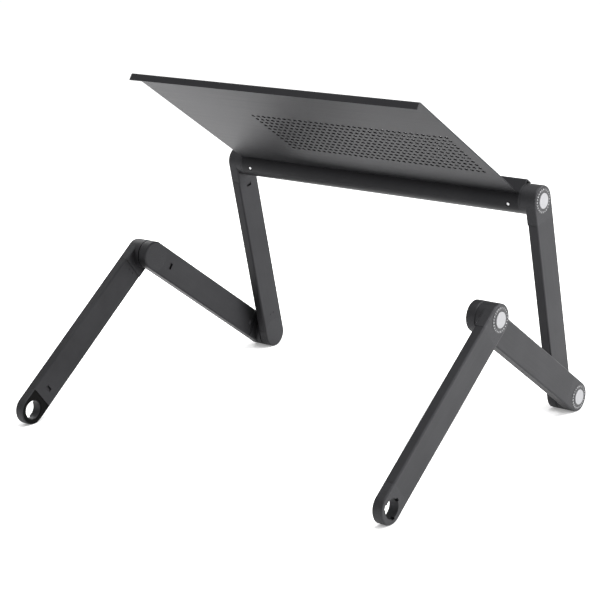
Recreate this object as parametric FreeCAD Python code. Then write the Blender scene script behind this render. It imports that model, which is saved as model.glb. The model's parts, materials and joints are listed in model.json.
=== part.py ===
"""Folding laptop stand: a tilted perforated tray on a round beam, carried by two chains of three
flat legs. Every hinge has a push button, a toothed lock gear, a spring and a retaining ring.

Frame, in mm: +X is the user's right, +Y is away from the user, +Z is up. The origin is under the
middle of the stand, on the floor. Left parts are mirror images of the right ones.
"""
import FreeCAD
import Part
import math
import os

# overall pose
LEG = 252.0           # hinge to hinge, every leg
UPPER_ANGLE = 79.0    # slope of the upper leg
MIDDLE_ANGLE = 36.7   # slope of the middle and lower legs
TILT = 35.0           # slope of the tray

# flat legs
HUB_R = 18.0          # half the leg's width, and the radius of its round ends
BAR_T = 13.0          # thickness of a leg
PITCH = 21.0          # step outwards from one leg to the next
WALL = 1.8            # wall of the extruded bar
RIM = 2.0             # rounding of every long edge and of the round ends
BTN_SEAM = 25.0       # hinge axis to bar, at the button end
HEAD_STEP = 1.0       # the button end's head stands proud of the bar's inner face
COPE_R = 20.6         # the bar is hollowed to this radius round the next hinge
FOOT_SEAM = 20.0      # eye's axis to bar, at the foot
TONGUE_END = 50.0     # a casting reaches this far from its axis, inside the bar
SEAM_W, SEAM_DEPTH = 0.6, 0.4   # groove at each seam, on the leg's narrow faces
GAP = 0.3             # running gap between two legs
TAB = (5.0, 8.0)      # staked tab in the bar: along and across
TAB_FROM_AXIS = 33.0
DIMPLE_R, DIMPLE_DEPTH, DIMPLE_APART, DIMPLE_FROM_AXIS = 0.75, 0.7, 7.0, 30.0

# tray and beam
TRAY_W = 420.0
TRAY_D = 252.8        # hinge axis to the high edge, along the slope
SHEET = 1.5
SHEET_N = -2.0        # the sheet's underside, from the hinge axis
LEDGE_A = 11.0        # outer face of the upright ledge, from the hinge axis
LEDGE_H = 20.0
LIP_A = 1.5           # end of the lip that is folded over the beam
REAR_FLANGE = 7.8     # below the sheet's underside
BEND_OUT, BEND_IN = 2.3, 0.8
BEAM_WALL = 2.0
END_PLATE = 2.0
HOLE_R = 2.5
HOLE_ROWS, HOLE_ROW_A, HOLE_ROW_PITCH = 11, 74.9, 8.88
HOLE_COLS, HOLE_COL_X, HOLE_COL_PITCH = 36, -193.4, 7.93
TRAY_SCREW_X = (-168.0, -84.0, 0.0, 84.0, 168.0)
TRAY_SCREW_N, TRAY_SCREW_R = 8.0, 1.5
PLUG = 30.0           # length of the end socket inside the beam
END_SCREW_X = TRAY_W / 2 - 13.7
END_SCREW_ANGLES = (-50.0, -130.0)
END_SCREW_R, END_SCREW_HEAD_R = 1.1, 1.7
END_SCREW_WELL_R, END_SCREW_WELL = 3.2, 0.8

# hinge hardware, measured outwards along the axis from the inner part's face
DRUM_R, DRUM_END, DRUM_FLOOR = 13.0, 12.0, 1.0
POCKET_R, POCKET_FROM = 15.0, 10.0
TEETH, TOOTH_TIP, TOOTH_ROOT = 24, 9.6, 10.8
RING_IN, RING_OUT, RING_FROM, RING_TO = 12.25, 14.7, 10.05, 11.25
DIAL_FROM, DIAL_SPLINE_TO, DIAL_LIP, DIAL_TO = 12.4, 15.5, 20.3, 21.2
BUTTON_R, BUTTON_FLANGE_R, BUTTON_STEM_R, BUTTON_TOP = 9.2, 12.0, 7.0, 22.2
BUTTON_FLANGE_FROM, BUTTON_FLANGE_TO = 18.9, 20.2
GEAR_FROM, GEAR_TO = 9.0, 15.0
SPRING_R, SPRING_WIRE, SPRING_TURNS = 5.4, 0.5, 4

# foot
FOOT_R = 11.2
FOOT_NOTCH_W, FOOT_NOTCH_DEPTH, FOOT_NOTCH_LENGTH = 5.0, 1.8, 3.5
FOOT_RIM, FOOT_RECESS, FOOT_PLATE_T, FOOT_PLATE_HOLE_R = 1.0, 1.5, 1.0, 12.3
FOOT_PLATE_TO = 19.0  # the plate's straight end, from the eye's axis

V = FreeCAD.Vector


def sin(degrees):
    return math.sin(math.radians(degrees))


def cos(degrees):
    return math.cos(math.radians(degrees))


REACH = LEG * cos(MIDDLE_ANGLE)
J1 = (LEG * cos(UPPER_ANGLE) - REACH, HUB_R + LEG * sin(UPPER_ANGLE))
J2 = (-REACH, HUB_R)
J3 = (0.0, HUB_R + LEG * sin(MIDDLE_ANGLE))
BAR_Z0, BAR_Z1 = PITCH - BAR_T, PITCH
# each leg: upper hinge, slope, and the plane its hub turns on
LEGS = {
    "upper": (J1, UPPER_ANGLE + 180, TRAY_W / 2 + END_PLATE),
    "middle": (J2, MIDDLE_ANGLE, TRAY_W / 2 + END_PLATE + PITCH),
    "lower": (J3, -MIDDLE_ANGLE, TRAY_W / 2 + END_PLATE + 2 * PITCH),
}


def cyl(r, z0, z1, x=0.0):
    return Part.makeCylinder(r, z1 - z0, V(x, 0, z0))


def box(x0, x1, y0, y1, z0, z1):
    return Part.makeBox(x1 - x0, y1 - y0, z1 - z0, V(x0, y0, z0))


def prism(points, z0, z1):
    wire = Part.makePolygon([V(x, y, z0) for x, y in points + points[:1]])
    return Part.Face(wire).extrude(V(0, 0, z1 - z0))


def fillet(shape, r, pick):
    edges = [e for e in shape.Edges if pick(e)]
    return shape.makeFillet(r, edges) if edges else shape


def along_x(e):
    if e.Curve.TypeId != "Part::GeomLine":
        return False
    d = e.Vertexes[-1].Point.sub(e.Vertexes[0].Point)
    return d.Length > 10 and abs(d.x) / d.Length > 0.999


def place(shape, angle, centre, x0):
    """Turn local x into the YZ plane at this slope, local z into +X, and move the origin there."""
    c, s = cos(angle), sin(angle)
    m = FreeCAD.Matrix(0, 0, 1, x0, c, -s, 0, centre[0], s, c, 0, centre[1], 0, 0, 0, 1)
    out = shape.copy()
    out.Placement = FreeCAD.Placement(m).multiply(shape.Placement)
    return out


def mirrored(shape):
    return shape.mirror(V(0, 0, 0), V(1, 0, 0))


def toothed(root, tip, shrink, z0, z1):
    """A star prism. Inside teeth: tip < root. Outside teeth: tip > root. shrink narrows each tooth."""
    pts, step = [], 360.0 / TEETH
    for i in range(TEETH):
        a = i * step
        for r, off in ((root, -0.5), (root, -0.29 - shrink), (tip, -0.17 - shrink), (tip, 0.17 + shrink),
                       (root, 0.29 + shrink)):
            pts.append((r * cos(a + off * step), r * sin(a + off * step)))
    return prism(pts, z0, z1)


def spline_bore(z0, z1):
    return toothed(TOOTH_TIP, TOOTH_ROOT, 0.0, z0, z1)


# legs, in their own frame: x runs from the upper hinge (0) to the next one (LEG), z points outwards


def head(z0, reach):
    """Half disc and straight part of a round leg end on the origin, with soft rims."""
    body = cyl(HUB_R, z0, BAR_Z1).fuse(box(0, reach, -HUB_R, HUB_R, z0, BAR_Z1)).removeSplitter()

    def rim(e):
        heights = [v.Point.z for v in e.Vertexes]
        level = max(heights) - min(heights) < 1e-6
        return level and not all(abs(v.Point.x - reach) < 1e-6 for v in e.Vertexes)
    return fillet(body, RIM, rim)


def turned_end(shape):
    """Put a part that was made on the origin on the leg's far end."""
    out = shape.copy()
    out.rotate(V(0, 0, 0), V(0, 0, 1), 180)
    out.translate(V(LEG, 0, 0))
    return out


def seam_groove(x0):
    """The room of the thin groove beside a seam, on both narrow faces."""
    both = box(x0, x0 + SEAM_W, HUB_R - SEAM_DEPTH, HUB_R + 1, -1, BAR_Z1 + 1)
    return both.fuse(box(x0, x0 + SEAM_W, -HUB_R - 1, -HUB_R + SEAM_DEPTH, -1, BAR_Z1 + 1))


def tongue(x0):
    """The part of a casting that sits inside the bar."""
    play = WALL + 0.05
    return fillet(box(x0, TONGUE_END, -HUB_R + play, HUB_R - play, BAR_Z0 + play, BAR_Z1 - play), 1.0, along_x)


def tab_pocket():
    grow = 0.2
    return box(TAB_FROM_AXIS - TAB[0] / 2 - grow, TAB_FROM_AXIS + TAB[0] / 2 + grow,
               -TAB[1] / 2 - grow, TAB[1] / 2 + grow, BAR_Z0 + WALL, BAR_Z0 + WALL + 1.6)


def tab_slot(x, way):
    """Window in the bar's inner wall, and the tab lanced out of it into the casting's pocket."""
    half, across = TAB[0] / 2, TAB[1] / 2
    slot = box(x - half, x + half, -across, across, BAR_Z0 - 1, BAR_Z0 + WALL + 0.1)
    side = [(-half - 0.5, 0.1), (-half + 0.5, 0.1), (half - 0.6, 1.8), (half - 0.6, 2.9), (-half - 0.5, 1.5)]
    tab = prism([(x + way * px, -BAR_Z0 - pz) for px, pz in side], -across + 0.4, across - 0.4)
    tab.rotate(V(0, 0, 0), V(1, 0, 0), -90)
    return slot, tab


def dimples(x):
    pair = cyl(DIMPLE_R, BAR_Z0 - 1, BAR_Z0 + DIMPLE_DEPTH, x)
    low, high = pair.copy(), pair.copy()
    low.translate(V(0, -DIMPLE_APART / 2, 0))
    high.translate(V(0, DIMPLE_APART / 2, 0))
    return low.fuse(high)


def bar(tab_near, tab_far, foot):
    """Hollow bar between the two castings of a leg."""
    outer = fillet(box(BTN_SEAM, LEG, -HUB_R, HUB_R, BAR_Z0, BAR_Z1), RIM, along_x)
    inner = fillet(box(0, LEG + 1, -HUB_R + WALL, HUB_R - WALL, BAR_Z0 + WALL, BAR_Z1 - WALL), 1.0, along_x)
    far_end = box(LEG - FOOT_SEAM, LEG + 1, -HUB_R - 1, HUB_R + 1, 0, BAR_Z1 + 1) if foot else \
        cyl(COPE_R, 0, BAR_Z1 + 1, LEG).fuse(box(LEG, LEG + 1, -HUB_R - 1, HUB_R + 1, 0, BAR_Z1 + 1))
    tube = outer.cut(inner).cut(far_end)
    for wanted, x, way in ((tab_near, TAB_FROM_AXIS, 1), (tab_far, LEG - TAB_FROM_AXIS, -1)):
        if wanted:
            slot, tab = tab_slot(x, way)
            tube = tube.cut(slot).fuse(tab)
    if not tab_near:
        tube = tube.cut(dimples(DIMPLE_FROM_AXIS))
    if not tab_far:
        tube = tube.cut(dimples(LEG - DIMPLE_FROM_AXIS))
    return tube


def button_end(tab_here):
    """Casting at the upper hinge: hub disc on its inner side, pocket for the hinge parts outside."""
    s = head(BAR_Z0 - HEAD_STEP, BTN_SEAM).cut(seam_groove(BTN_SEAM - SEAM_W))
    s = s.fuse(cyl(HUB_R, GAP, BAR_Z0 + 2)).fuse(tongue(BTN_SEAM - 1))
    s = s.cut(cyl(DRUM_R + 0.05, -1, POCKET_FROM + 1)).cut(cyl(POCKET_R, POCKET_FROM, BAR_Z1 + 1))
    return s.cut(tab_pocket()) if tab_here else s


def drum(z):
    """The toothed drum of the inner part, with the groove for the retaining ring."""
    d = cyl(DRUM_R, z - 0.2, z + DRUM_END)
    groove = cyl(DRUM_R + 1, z + RING_FROM - 0.05, z + RING_TO + 0.05)
    return d.cut(groove.cut(cyl(RING_IN - 0.05, z + RING_FROM - 0.1, z + RING_TO + 0.1)))


def socket_end(tab_here):
    """Casting at the lower hinge: plain inside, drum outside that carries the next leg."""
    s = head(BAR_Z0, HUB_R + 10).common(cyl(COPE_R, 0, BAR_Z1 + 1))
    s = s.cut(seam_groove(math.sqrt(COPE_R ** 2 - HUB_R ** 2) - SEAM_W)).fuse(tongue(HUB_R - 4))
    s = turned_end(s.cut(tab_pocket()) if tab_here else s)
    carrier = drum(BAR_Z1)
    carrier.translate(V(LEG, 0, 0))
    bore = spline_bore(BAR_Z1 + DRUM_FLOOR, BAR_Z1 + DRUM_END + 1)
    bore.translate(V(LEG, 0, 0))
    return s.fuse(carrier).cut(bore)


def plate_outline(inset, z0, z1):
    """Outline of the foot's plate: the leg's round end, drawn in by inset, up to a straight end."""
    r = HUB_R - FOOT_RIM - inset
    return cyl(r, z0, z1).fuse(box(0, FOOT_PLATE_TO - inset, -r, r, z0, z1)).removeSplitter()


def foot_end(tab_here):
    """Casting at the free end: an eye right through, notched on its outer rim, and a recess inside."""
    s = head(BAR_Z0, FOOT_SEAM).cut(seam_groove(FOOT_SEAM - SEAM_W)).fuse(tongue(FOOT_SEAM - 1))
    s = s.cut(cyl(FOOT_R, 0, BAR_Z1 + 1)).cut(plate_outline(0, BAR_Z0 - 1, BAR_Z0 + FOOT_RECESS))
    for angle in (0, 120, 240):
        notch = box(0, FOOT_R + FOOT_NOTCH_DEPTH, -FOOT_NOTCH_W / 2, FOOT_NOTCH_W / 2,
                    BAR_Z1 - FOOT_NOTCH_LENGTH, BAR_Z1 + 1)
        notch.rotate(V(0, 0, 0), V(0, 0, 1), angle)
        s = s.cut(notch)
    return turned_end(s.cut(tab_pocket()) if tab_here else s)


def foot_insert():
    """Thin dark plate let into the foot's inner face."""
    z1 = BAR_Z0 + FOOT_RECESS
    s = plate_outline(0.05, z1 - FOOT_PLATE_T, z1).cut(cyl(FOOT_PLATE_HOLE_R, 0, BAR_Z1))
    return turned_end(s)


# hinge hardware, centred on the axis, z outwards from the inner part's face


def dial_ring():
    s = cyl(POCKET_R - 0.02, DIAL_FROM, DIAL_TO).cut(spline_bore(DIAL_FROM - 1, DIAL_SPLINE_TO + 0.1))
    s = s.cut(cyl(BUTTON_FLANGE_R + 0.1, DIAL_SPLINE_TO, DIAL_LIP))
    return s.cut(cyl(BUTTON_R + 0.4, DIAL_LIP - 1, DIAL_TO + 1))


def button():
    top = cyl(BUTTON_R, BUTTON_FLANGE_TO - 0.5, BUTTON_TOP)

    def top_rim(e):
        return e.Curve.TypeId == "Part::GeomCircle" and e.Vertexes[0].Point.z > BUTTON_TOP - 0.01
    top = fillet(top, 0.6, top_rim)
    s = top.fuse(cyl(BUTTON_FLANGE_R, BUTTON_FLANGE_FROM, BUTTON_FLANGE_TO))
    return s.fuse(cyl(BUTTON_STEM_R, GEAR_FROM, BUTTON_FLANGE_FROM + 0.5))


def lock_gear():
    return toothed(TOOTH_TIP - 0.15, TOOTH_ROOT - 0.1, -0.03, GEAR_FROM, GEAR_TO).cut(
        cyl(BUTTON_STEM_R + 0.02, GEAR_FROM - 1, GEAR_TO + 1))


def spring():
    """Coil with an eight-sided wire, wound from the socket's floor to the gear."""
    z0, z1 = DRUM_FLOOR + SPRING_WIRE + 0.05, GEAR_FROM - SPRING_WIRE - 0.05
    helix = Part.makeHelix((z1 - z0) / SPRING_TURNS, z1 - z0, SPRING_R)
    helix.translate(V(0, 0, z0))
    corners = [V(SPRING_R + SPRING_WIRE * cos(a), 0, z0 + SPRING_WIRE * sin(a)) for a in range(0, 360, 45)]
    section = Part.makePolygon(corners + corners[:1])
    return Part.Wire(helix.Edges).makePipeShell([section], True, True)


def retaining_ring():
    s = cyl(RING_OUT, RING_FROM, RING_TO).cut(cyl(RING_IN, RING_FROM - 1, RING_TO + 1))
    return s.cut(box(0, RING_OUT + 1, -2.0, 2.0, RING_FROM - 1, RING_TO + 1))


# tray and beam, in their own frame: x up the slope, y out of the tray's top, z to the right


def tray():
    a, w = LEDGE_A, TRAY_W / 2
    low, top = SHEET_N, SHEET_N + SHEET
    s = prism([(LIP_A, LEDGE_H - SHEET), (a, LEDGE_H - SHEET), (a, low), (TRAY_D - SHEET, low),
               (TRAY_D - SHEET, low - REAR_FLANGE), (TRAY_D, low - REAR_FLANGE), (TRAY_D, top), (a + SHEET, top),
               (a + SHEET, LEDGE_H), (LIP_A, LEDGE_H)], -w, w)

    def outer_bend(e):
        return long_at(e, [(a, low), (TRAY_D, top), (a + SHEET, LEDGE_H)])

    def inner_bend(e):
        return long_at(e, [(a + SHEET, top), (TRAY_D - SHEET, low), (a, LEDGE_H - SHEET)])
    s = fillet(fillet(s, BEND_OUT, outer_bend), BEND_IN, inner_bend)
    holes = []
    for row in range(HOLE_ROWS):
        for col in range(HOLE_COLS):
            foot = V(HOLE_ROW_A + row * HOLE_ROW_PITCH, low - 1, HOLE_COL_X + col * HOLE_COL_PITCH)
            holes.append(Part.makeCylinder(HOLE_R, SHEET + 2, foot, V(0, 1, 0)))
    s = s.cut(Part.makeCompound(holes))
    for x in TRAY_SCREW_X:
        s = s.cut(countersink(x))
    return s


def long_at(e, corners):
    p = e.Vertexes[0].Point
    q = e.Vertexes[-1].Point
    return abs(q.z - p.z) > 100 and any(math.hypot(p.x - cx, p.y - cy) < 1e-3 for cx, cy in corners)


def ledge_screw(x, r_head, r_shank, depth):
    """Countersunk head flush with the ledge's outer face, and a shank through it into the beam."""
    face = V(LEDGE_A + SHEET, TRAY_SCREW_N, x)
    cone = Part.makeCone(r_head, TRAY_SCREW_R, SHEET, face, V(-1, 0, 0))
    return cone.fuse(Part.makeCylinder(r_shank, depth, face, V(-1, 0, 0)))


def countersink(x):
    return ledge_screw(x, 3.0, TRAY_SCREW_R + 0.05, 8.0)


def tray_screws():
    out = []
    for x in TRAY_SCREW_X:
        hex_room = Part.makeCylinder(0.9, 0.8, V(LEDGE_A + SHEET + 0.1, TRAY_SCREW_N, x), V(-1, 0, 0))
        out.append(ledge_screw(x, 2.95, TRAY_SCREW_R, 6.0).cut(hex_room))
    return Part.makeCompound(out)


def notched(r, inset, z0, z1):
    """A round bar with the tray's corner cut out of it, inset from the beam's surface."""
    return cyl(r, z0, z1).cut(box(LEDGE_A - inset, 40, SHEET_N - inset, 40, z0 - 1, z1 + 1))


def radial(angle, r0, r1, rad, x):
    """A round pin that points away from the beam's axis."""
    d = V(cos(angle), sin(angle), 0)
    return Part.makeCylinder(rad, r1 - r0, V(r0 * d.x, r0 * d.y, x), d)


def end_screw_places():
    return [(angle, side * END_SCREW_X) for side in (1, -1) for angle in END_SCREW_ANGLES]


def beam():
    w = TRAY_W / 2
    s = notched(HUB_R, 0.0, -w, w).cut(notched(HUB_R - BEAM_WALL, BEAM_WALL, -w - 1, w + 1))
    for x in TRAY_SCREW_X:
        s = s.cut(Part.makeCylinder(TRAY_SCREW_R + 0.05, 8.0, V(LEDGE_A + 1, TRAY_SCREW_N, x), V(-1, 0, 0)))
    for angle, x in end_screw_places():
        s = s.cut(radial(angle, HUB_R - 4, HUB_R + 3, END_SCREW_R + 0.05, x))
        s = s.cut(radial(angle, HUB_R - END_SCREW_WELL, HUB_R + 2, END_SCREW_WELL_R, x))
    return s


def beam_end_socket():
    """Right end of the beam: plug inside the beam, round end plate, and the drum of the top hinge."""
    w = TRAY_W / 2
    play = 0.1
    s = notched(HUB_R - BEAM_WALL - play, BEAM_WALL + play, w - PLUG, w + 0.5)
    s = s.fuse(cyl(HUB_R, w, w + END_PLATE)).fuse(drum(w + END_PLATE))
    s = s.cut(spline_bore(w + END_PLATE + DRUM_FLOOR, w + END_PLATE + DRUM_END + 1))
    for angle in END_SCREW_ANGLES:
        s = s.cut(radial(angle, HUB_R - 11, HUB_R + 1, END_SCREW_R + 0.05, END_SCREW_X))
    return s


def beam_end_screws():
    """Small pan head screws that sit in a shallow round well, each with a blind hex socket."""
    seat = HUB_R - END_SCREW_WELL
    out = []
    for angle, x in end_screw_places():
        s = radial(angle, HUB_R - 10, seat, END_SCREW_R, x)
        s = s.fuse(radial(angle, seat, HUB_R - 0.1, END_SCREW_HEAD_R, x))
        out.append(s.cut(radial(angle, HUB_R - 0.4, HUB_R + 1, 0.7, x)))
    return Part.makeCompound(out)


def save(shape, name):
    shape = shape.removeSplitter() if len(shape.Solids) == 1 else shape
    if not shape.isValid() or not shape.Solids:
        print("BAD", name, shape.isValid(), len(shape.Solids))
    shape.exportStep("parts/%s.step" % name)
    bb = shape.BoundBox
    print("%-28s solids %d  vol %.1f  x %.1f %.1f  y %.1f %.1f  z %.1f %.1f" % (
        name, len(shape.Solids), shape.Volume, bb.XMin, bb.XMax, bb.YMin, bb.YMax, bb.ZMin, bb.ZMax))


def both_sides(shape, angle, centre, x0, name):
    right = place(shape, angle, centre, x0)
    save(right, "right_" + name)
    save(mirrored(right), "left_" + name)


def main():
    os.makedirs("parts", exist_ok=True)
    for name, shape in (("tray", tray()), ("beam", beam()), ("tray_screws", tray_screws()),
                        ("beam_end_screws", beam_end_screws())):
        save(place(shape, TILT, J1, 0.0), name)
    both_sides(beam_end_socket(), TILT, J1, 0.0, "beam_end_socket")
    hardware = {"dial_ring": dial_ring(), "button": button(), "lock_gear": lock_gear(), "spring": spring(),
                "retaining_ring": retaining_ring()}
    tabs = {"upper": (True, False), "middle": (True, True), "lower": (False, True)}
    before = {"upper": TILT, "middle": UPPER_ANGLE + 180, "lower": MIDDLE_ANGLE}
    for leg, (centre, angle, x0) in LEGS.items():
        near, far = tabs[leg]
        # the teeth of both parts of a hinge have one angle, so this leg's own parts turn by whole teeth
        lag = (before[leg] - angle) % (360.0 / TEETH)
        both_sides(bar(near, far, leg == "lower"), angle, centre, x0, leg + "_bar")
        both_sides(button_end(near), angle, centre, x0, leg + "_button_end")
        if leg == "lower":
            both_sides(foot_end(far), angle, centre, x0, "lower_foot_end")
            both_sides(foot_insert(), angle, centre, x0, "lower_foot_insert")
        else:
            both_sides(socket_end(far), angle, centre, x0, leg + "_socket_end")
        for name, shape in hardware.items():
            turned = shape.copy()
            if name in ("dial_ring", "lock_gear"):
                turned.rotate(V(0, 0, 0), V(0, 0, 1), lag)
            both_sides(turned, angle, centre, x0, leg + "_" + name)


main()
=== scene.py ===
"""Folding laptop stand: finishes, dial numbers, floor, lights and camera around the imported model."""
import bpy
import bmesh
import json
import math
from mathutils import Matrix, Vector


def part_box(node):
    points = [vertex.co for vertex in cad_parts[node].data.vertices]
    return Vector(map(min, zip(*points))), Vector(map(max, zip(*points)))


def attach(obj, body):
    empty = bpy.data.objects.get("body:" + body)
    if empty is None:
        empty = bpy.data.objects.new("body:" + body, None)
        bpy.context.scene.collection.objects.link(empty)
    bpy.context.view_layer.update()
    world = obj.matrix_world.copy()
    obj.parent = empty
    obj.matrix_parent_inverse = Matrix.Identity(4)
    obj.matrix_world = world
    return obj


MM = 0.001
SIDES = ("left", "right")
LEGS = ("upper", "middle", "lower")
OUTWARDS = {"left": -1, "right": 1}

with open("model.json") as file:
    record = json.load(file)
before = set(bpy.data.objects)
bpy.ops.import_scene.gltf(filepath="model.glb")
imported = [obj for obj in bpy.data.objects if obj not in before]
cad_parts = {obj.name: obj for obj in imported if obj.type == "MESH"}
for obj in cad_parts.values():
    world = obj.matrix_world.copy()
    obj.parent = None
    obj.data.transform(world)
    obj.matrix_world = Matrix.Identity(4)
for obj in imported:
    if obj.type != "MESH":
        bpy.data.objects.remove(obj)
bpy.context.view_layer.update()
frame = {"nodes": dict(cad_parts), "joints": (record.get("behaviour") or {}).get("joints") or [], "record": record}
record = frame["record"]
node_slot = {part["node"]: part["material_slot"] for part in record["subparts"]}
hinges = {joint["name"]: Vector(joint["pos_m"]) for joint in frame["joints"] if joint["type"] == "hinge"}


# ---- colours and nodes ----

def linear(hex_colour):
    """sRGB hex to the linear colour that a shader takes."""
    out = []
    for i in (1, 3, 5):
        c = int(hex_colour[i:i + 2], 16) / 255
        out.append(c / 12.92 if c <= 0.04045 else ((c + 0.055) / 1.055) ** 2.4)
    return (*out, 1.0)


def node(material, kind, sockets, **settings):
    """Add a shader node and give back its outputs. A socket takes a value, or an output to link from."""
    made = material.node_tree.nodes.new("ShaderNode" + kind)
    for name, value in settings.items():
        setattr(made, name, value)
    for name, value in sockets.items():
        if isinstance(value, bpy.types.NodeSocket):
            material.node_tree.links.new(value, made.inputs[name])
        else:
            made.inputs[name].default_value = value
    return made.outputs


def new_material(name):
    material = bpy.data.materials.new(name)
    material.use_nodes = True
    material.node_tree.nodes.clear()
    return material


def shade(material, sockets):
    """End a material with its shader and output."""
    shader = node(material, "BsdfPrincipled", sockets)["BSDF"]
    node(material, "OutputMaterial", {"Surface": shader})
    return material


def grain(material, size_mm, stretch=(1, 1, 1), slope=0.0, detail=2.0):
    """Noise over the object, with grains of about this size in mm. stretch lengthens them along each
    axis, and slope tips that stretch up from level."""
    place = node(material, "TexCoord", {})["Object"]
    sockets = {"Vector": place, "Rotation": (slope, 0, 0), "Scale": stretch}
    tipped = node(material, "Mapping", sockets, vector_type="TEXTURE")["Vector"]
    sockets = {"Vector": tipped, "Scale": 1 / (size_mm * MM), "Detail": detail, "Roughness": 0.55}
    return node(material, "TexNoise", sockets)["Fac"]


NOISE_MIDDLE = {"From Min": 0.3, "From Max": 0.7}    # nearly all of a grain's values


def two_shades(material, pattern, dark, light):
    """A colour that wanders between two close shades."""
    share = node(material, "MapRange", {"Value": pattern, **NOISE_MIDDLE})["Result"]
    return node(material, "Mix", {0: share, 6: linear(dark), 7: linear(light)}, data_type="RGBA")[2]


def finish(material, colour, dullness, reliefs, sockets):
    """Finish a material from its colour, its dullness as (pattern, least, most roughness), its
    reliefs as (pattern, depth in mm), each laid over the one before, and the shader's even values."""
    pattern, least, most = dullness
    ranged = {"Value": pattern, **NOISE_MIDDLE, "To Min": least, "To Max": most}
    roughness = node(material, "MapRange", ranged)["Result"]
    skin = {}
    for height, depth_mm in reliefs:
        bump = {"Height": height, "Distance": depth_mm * MM, "Strength": 1.0}
        skin = {"Normal": node(material, "Bump", {**bump, **skin})["Normal"]}
    return shade(material, {"Base Color": colour, "Roughness": roughness, **skin, **sockets})


# ---- finishes ----

# Blasting, specks, spark texture, flake and turned marks are drawn coarser than the real ones.

TILT = math.radians(35)       # the tray's slope
# Where painted shade darkens the walls of the vent holes:
VENT_MIDDLE = 119.3 * MM      # middle row of vent holes, up the slope from the beam's axis
VENT_HALF = 48 * MM           # from that row to past the last one
VENT_HALF_WIDTH = 198 * MM    # across the tray, from its middle to past the last column
VENT_SHADE_FADE = 2 * MM            # the painted shade on the walls fades out over this
WALL_FACING = 0.3             # a wall's normal points out of the sheet by less than this
FACE_FACING = 0.6             # and a face's by more than this


def extruded_aluminium(name, slope, dark, light):
    """Black anodised aluminium extrusion, fine blasted before anodising. The eye sees a soft dark
    grey with faint die lines along the bar and a satin gloss."""
    m = new_material(name)
    die_lines = grain(m, 1.1, stretch=(1, 90, 1), slope=slope)
    blasted = grain(m, 0.5, detail=4.0)
    colour = two_shades(m, grain(m, 45.0), dark, light)
    reliefs = [(blasted, 0.02), (die_lines, 0.008)]
    return finish(m, colour, (die_lines, 0.49, 0.53), reliefs, {"Metallic": 0.8})


def cast_aluminium(name):
    """Black powder coat on die cast aluminium. A touch lighter than the bars, with the fine
    orange peel of a thin coat."""
    m = new_material(name)
    peel = grain(m, 1.4)
    specks = grain(m, 0.4, detail=4.0)
    colour = two_shades(m, peel, "#28282a", "#2f2f31")
    return finish(m, colour, (specks, 0.46, 0.58), [(peel, 0.03), (specks, 0.02)], {"Metallic": 0.8})


def within(material, value, half, inside):
    """inside while a coordinate is less than half from zero, then 0."""
    distance = node(material, "Math", {"Value": value}, operation="ABSOLUTE")["Value"]
    sockets = {"Value": distance, "From Min": half, "From Max": half + VENT_SHADE_FADE,
               "To Min": inside, "To Max": 0.0}
    return node(material, "MapRange", sockets)["Result"]


def painted_vent_shade(material):
    """Painted shade mask: 1 on the walls of the vent holes and 0 on the rest of the sheet."""
    middle_of_vents = hinges["left_upper_fold"] + VENT_MIDDLE * Vector((0, math.cos(TILT), math.sin(TILT)))
    middle_of_vents.x = 0
    place = node(material, "TexCoord", {})
    sockets = {"Vector": place["Object"], "Location": middle_of_vents, "Rotation": (TILT, 0, 0)}
    on_tray = node(material, "Mapping", sockets, vector_type="TEXTURE")["Vector"]
    across = node(material, "SeparateXYZ", {"Vector": on_tray})
    sockets = {"Vector": place["Normal"], "Rotation": (TILT, 0, 0)}
    facing = node(material, "Mapping", sockets, vector_type="TEXTURE")["Vector"]
    out_of_sheet = node(material, "SeparateXYZ", {"Vector": facing})["Z"]
    flatness = node(material, "Math", {"Value": out_of_sheet}, operation="ABSOLUTE")["Value"]
    sockets = {"Value": flatness, "From Min": WALL_FACING, "From Max": FACE_FACING,
               "To Min": 1.0, "To Max": 0.0}
    wall = node(material, "MapRange", sockets)["Result"]
    wall = within(material, across["Y"], VENT_HALF, wall)
    return within(material, across["X"], VENT_HALF_WIDTH, wall)


def sheet_aluminium(name):
    """Black anodised aluminium sheet, satin. It mirrors broad light softly, so a large face shows
    a slow gradient. The walls of the vent holes are painted near black as painted shade, so that the holes read as
    open."""
    m = new_material(name)
    rolled = grain(m, 1.2, stretch=(120, 1, 1), slope=TILT)
    specks = grain(m, 0.5, detail=4.0)
    faces = two_shades(m, grain(m, 60.0), "#303032", "#343436")
    # painted shade: the walls of the vent holes are mixed to near black #050505, standing in for the shade inside
    # the holes
    colour = node(m, "Mix", {0: painted_vent_shade(m), 6: faces, 7: linear("#050505")}, data_type="RGBA")[2]
    sockets = {"Metallic": 0.9, "Specular Tint": linear("#dcdcdc")}
    return finish(m, colour, (rolled, 0.38, 0.42), [(specks, 0.015)], sockets)


def moulded_plastic(name, dark, light, shine):
    """Moulded ABS with the fine spark texture of its tool. Dull, with a weak broad shine, or
    hardly any on the deep black plates in the feet."""
    m = new_material(name)
    spark = grain(m, 0.35, detail=3.0)
    colour = two_shades(m, grain(m, 6.0), dark, light)
    return finish(m, colour, (spark, 0.45, 0.55), [(spark, 0.03)], {"Specular IOR Level": shine})


def silver_paint(name):
    """Silver paint on a moulded button. Pale, with fine metal flake and little gloss."""
    m = new_material(name)
    flake = grain(m, 0.25, detail=3.0)
    colour = two_shades(m, flake, "#7c7c7e", "#868688")
    return finish(m, colour, (flake, 0.50, 0.60), [(flake, 0.01)], {"Metallic": 0.15})


def steel(name, dark, light, roughness):
    """Steel with drawn or turned marks. Bright broken reflections."""
    m = new_material(name)
    marks = grain(m, 0.3, stretch=(1, 6, 1), detail=3.0)
    colour = two_shades(m, marks, dark, light)
    dullness = (marks, roughness - 0.06, roughness + 0.06)
    return finish(m, colour, dullness, [(marks, 0.01)], {"Metallic": 1.0})


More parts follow.
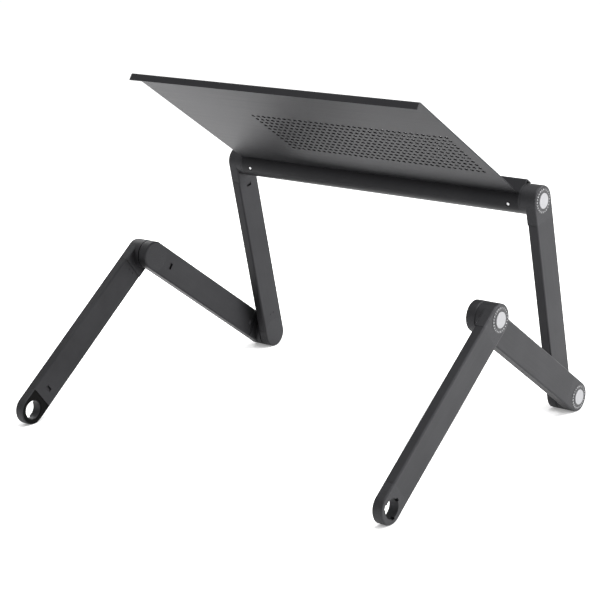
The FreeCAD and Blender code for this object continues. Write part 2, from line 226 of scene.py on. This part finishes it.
def printed_ink(name):
    """Pale grey pad printing ink. Flat and matt, a little worn."""
    m = new_material(name)
    worn = grain(m, 0.4, detail=3.0)
    colour = two_shades(m, worn, "#a8a8aa", "#c4c4c6")
    return finish(m, colour, (worn, 0.5, 0.65), [], {})


# Each leg's slope as the stand is set up, so that the die lines run along its bar.
leg_slopes = {"upper": math.radians(79.0), "middle": math.radians(36.7), "lower": math.radians(-36.7)}
bar_finish = {}
for leg, slope in leg_slopes.items():
    bar_finish[leg] = extruded_aluminium("black_anodised_extrusion_" + leg, slope, "#252527", "#2a2a2c")
# painted shade: the beam gets a darker copy of the bars' anodised extrusion, standing in for the shade under the
# tray
shaded_beam_finish = extruded_aluminium("black_anodised_extrusion_beam_painted_shade", 0.0, "#18181a", "#1c1c1e")
finishes = {
    "black_sheet": sheet_aluminium("black_anodised_aluminium_sheet"),
    "black_extrusion": shaded_beam_finish,
    "black_casting": cast_aluminium("black_powder_coated_die_casting"),
    "dial_plastic": moulded_plastic("black_moulded_abs", "#262628", "#2c2c2e", 0.3),
    "silver_button": silver_paint("silver_painted_abs"),
    "black_plastic": moulded_plastic("near_black_moulded_abs", "#050505", "#080808", 0.04),
    "gear_steel": steel("sintered_steel", "#6f6f70", "#858587", 0.45),
    "spring_steel": steel("bright_spring_steel", "#9a9a9b", "#b4b4b6", 0.3),
    "bright_screw": steel("zinc_plated_steel", "#b9b9ba", "#d6d6d8", 0.28),
    "black_screw": steel("black_oxide_steel", "#2a2a2c", "#38383a", 0.4),
}


def dress(obj, material):
    """Put a finish on a CAD node's or a piece's material slots."""
    if not obj.material_slots:
        obj.data.materials.append(material)
    for slot in obj.material_slots:
        slot.material = material


for name, obj in frame["nodes"].items():
    material = finishes[node_slot[name]]
    for leg in LEGS:
        if name.endswith("_" + leg + "_bar"):
            material = bar_finish[leg]
    dress(obj, material)


# ---- dial numbers ----

DIAL_MARKS = 24
NUMBER_R = 13.1 * MM      # middle of the row of numbers, from the hinge axis
NUMBER_SIZE = 2.6 * MM    # font size, which makes digits 1.9 mm high
NUMBER_NARROW = 0.62      # width of the digits against the font's own
INK = 0.04 * MM           # half the thickness of the print
SAME_POINT = 1e-7         # corners nearer than this, in metres, are one
ink = printed_ink("pale_pad_printing_ink")


def number_mesh(text):
    """One flat printed number, as a mesh."""
    curve = bpy.data.curves.new("number", "FONT")
    curve.body = text
    curve.size = NUMBER_SIZE
    curve.extrude = INK
    curve.resolution_u = 2
    curve.align_x = "CENTER"
    curve.align_y = "CENTER"
    drawn = bpy.data.objects.new("number", curve)
    mesh = bpy.data.meshes.new_from_object(drawn)
    bpy.data.objects.remove(drawn)
    return mesh


def dial_numbers(side, leg):
    """The numbers 1 to 24 round a push button, read from outside the leg."""
    out = OUTWARDS[side]
    low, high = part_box(side + "_" + leg + "_dial_ring")
    centre = hinges[side + "_" + leg + "_fold"].copy()
    centre.x = high[0] if out > 0 else low[0]
    # text runs along +Y on the right side and along -Y on the left, and stands up along +Z
    facing = Matrix((
        (0, 0, out, centre.x + out * INK),
        (out, 0, 0, centre.y),
        (0, 1, 0, centre.z),
        (0, 0, 0, 1),
    ))
    bm = bmesh.new()
    for i in range(DIAL_MARKS):
        mesh = number_mesh(str(i + 1))
        turn = Matrix.Rotation(-math.tau * (i + 1) / DIAL_MARKS, 4, "Z")
        narrowed = Matrix.Translation((0, NUMBER_R, 0)) @ Matrix.Diagonal((NUMBER_NARROW, 1, 1, 1))
        mesh.transform(facing @ turn @ narrowed)
        bm.from_mesh(mesh)
        bpy.data.meshes.remove(mesh)
    bmesh.ops.remove_doubles(bm, verts=bm.verts, dist=SAME_POINT)
    bmesh.ops.recalc_face_normals(bm, faces=bm.faces)
    made = bpy.data.meshes.new(side + "_" + leg + "_dial_numbers")
    bm.to_mesh(made)
    bm.free()
    piece = bpy.data.objects.new(made.name, made)
    bpy.context.scene.collection.objects.link(piece)
    dress(piece, ink)
    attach(piece, side + "_" + leg + "_leg")


for side in SIDES:
    for leg in LEGS:
        dial_numbers(side, leg)


# ---- floor, lights, camera ----

FLOOR_HALF = 30.0     # metres
FLOOR_GLOW = 0.22     # lifts the floor to near white
WORLD_GLOW = 0.82
SENSOR = 36           # mm


def make_floor():
    mesh = bpy.data.meshes.new("floor")
    bm = bmesh.new()
    bmesh.ops.create_grid(bm, x_segments=1, y_segments=1, size=FLOOR_HALF)
    bm.to_mesh(mesh)
    bm.free()
    floor = bpy.data.objects.new("floor", mesh)
    bpy.context.scene.collection.objects.link(floor)
    m = new_material("pale_floor")
    shade(m, {"Base Color": linear("#f5f5f5"), "Roughness": 0.9,
              "Emission Color": linear("#ffffff"), "Emission Strength": FLOOR_GLOW})
    dress(floor, m)


def make_light(name, place, aim, size, watts):
    data = bpy.data.lights.new(name, "AREA")
    data.shape = "DISK"
    data.size = size
    data.energy = watts
    light = bpy.data.objects.new(name, data)
    bpy.context.scene.collection.objects.link(light)
    light.location = place
    light.rotation_euler = (Vector(aim) - Vector(place)).to_track_quat("-Z", "Y").to_euler()


def make_camera(place, aim, roll, lens):
    data = bpy.data.cameras.new("camera")
    data.lens = lens
    data.sensor_width = SENSOR
    data.dof.use_dof = False
    camera = bpy.data.objects.new("camera", data)
    bpy.context.scene.collection.objects.link(camera)
    turn = (Vector(aim) - Vector(place)).to_track_quat("-Z", "Y").to_matrix()
    turn = turn @ Matrix.Rotation(math.radians(roll), 3, "Z")
    camera.matrix_world = Matrix.Translation(place) @ turn.to_4x4()
    bpy.context.scene.camera = camera


make_floor()
middle = (0.0, 0.0, 0.2)
make_light("side", (-2.0, -0.8, 0.6), middle, size=1.0, watts=30)
make_light("pool", (0.9, -0.3, 0.45), (0.9, -0.3, 0.0), size=0.5, watts=4.5)
make_light("high", (-1.6, -1.6, 1.5), middle, size=1.0, watts=52)
make_light("top", (-0.3, 0.0, 2.2), middle, size=1.2, watts=45)
make_camera(place=(-1.2946, 1.5611, 0.7301), aim=(-0.0638, 0.0842, 0.1786), roll=-1.95, lens=107.25)

world = bpy.data.worlds.new("studio")
bpy.context.scene.world = world
world.use_nodes = True
background = world.node_tree.nodes["Background"]
background.inputs["Color"].default_value = linear("#ffffff")
background.inputs["Strength"].default_value = WORLD_GLOW

bpy.context.scene.view_settings.view_transform = "Standard"
